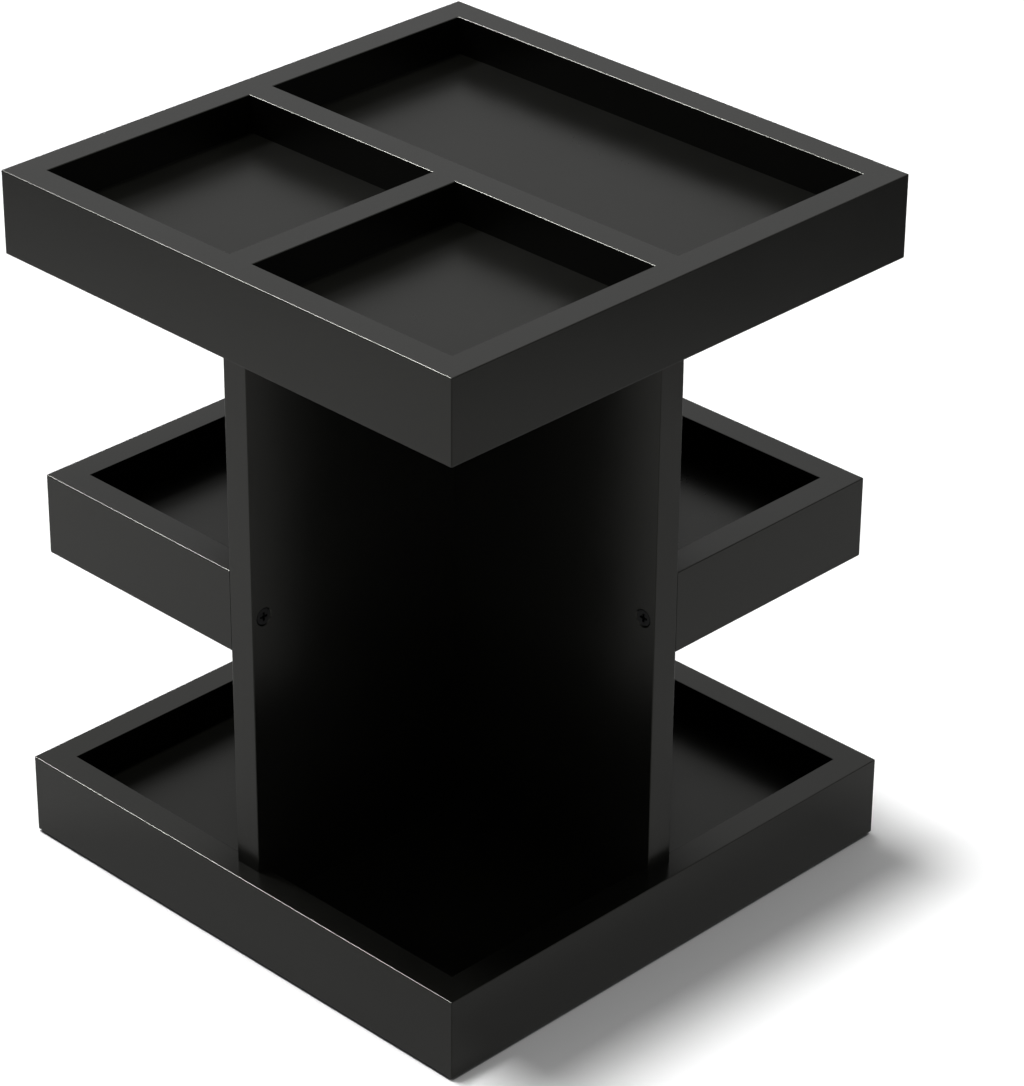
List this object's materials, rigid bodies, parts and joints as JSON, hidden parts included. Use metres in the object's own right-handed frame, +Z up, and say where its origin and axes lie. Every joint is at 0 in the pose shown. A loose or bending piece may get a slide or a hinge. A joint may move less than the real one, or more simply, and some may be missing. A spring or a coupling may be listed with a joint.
{
  "type": "rotating perfume organizer",
  "caption": "Square tower of open trays on a ball turntable: a divided top tray, crossed upright panels, mid-height corner trays and a rimmed bottom tray.",
  "frame": {"origin": "on the table under the turntable's axis, level with the undersides of the rubber feet", "axes": "+Z up along the turntable's axis; the front face of the trays looks along -Y and the right face along +X"},
  "size_m": [0.25, 0.25, 0.3064],
  "materials": {
    "black_paint": "satin black paint on board",
    "black_floor": "satin black paint on thin board",
    "bare_wood": "bare beech",
    "zinc_steel": "zinc plated",
    "polished_steel": "polished",
    "black_steel": "black oxide, satin",
    "black_plastic": "fine moulded texture",
    "white_plastic": "natural nylon",
    "grey_rubber": "matt"
  },
  "bodies": {
    "base": {"base_disc": "black_plastic", "rubber_feet": "grey_rubber", "lower_race_plate": "zinc_steel", "pivot_eyelet": "zinc_steel", "base_rivets": "zinc_steel"},
    "cage": {"ball_cage": "white_plastic", "bearing_balls": "polished_steel"},
    "carousel": {"upper_race_plate": "zinc_steel", "turntable_screws": "zinc_steel", "bottom_tray_floor": "black_floor", "bottom_rim_front": "black_paint", "bottom_rim_right": "black_paint", "bottom_rim_back": "black_paint", "bottom_rim_left": "black_paint", "bottom_corner_splines": "bare_wood", "panel_left_right": "black_paint", "panel_front_back": "black_paint", "panel_base_screws": "zinc_steel", "left_tray_floor": "black_floor", "left_tray_front_rim": "black_paint", "left_tray_side_rim": "black_paint", "right_tray_floor": "black_floor", "right_tray_back_rim": "black_paint", "right_tray_side_rim": "black_paint", "mid_tray_screws": "black_steel", "mid_tray_splines": "bare_wood", "top_tray_floor": "black_floor", "top_rim_front": "black_paint", "top_rim_right": "black_paint", "top_rim_back": "black_paint", "top_rim_left": "black_paint", "long_divider": "black_paint", "short_divider": "black_paint", "top_corner_splines": "bare_wood", "top_dowels": "bare_wood"}
  },
  "joints": [
    {"name": "turntable_spin", "type": "hinge", "parent": "base", "child": "carousel", "pos_m": [0, 0, 0.0137], "axis": [0, 0, 1], "continuous": true},
    {"name": "cage_spin", "type": "hinge", "parent": "base", "child": "cage", "pos_m": [0, 0, 0.0097], "axis": [0, 0, 1], "continuous": true}
  ],
  "couplings": [
    {"joint": "cage_spin", "follows": "turntable_spin", "ratio": 0.5}
  ]
}
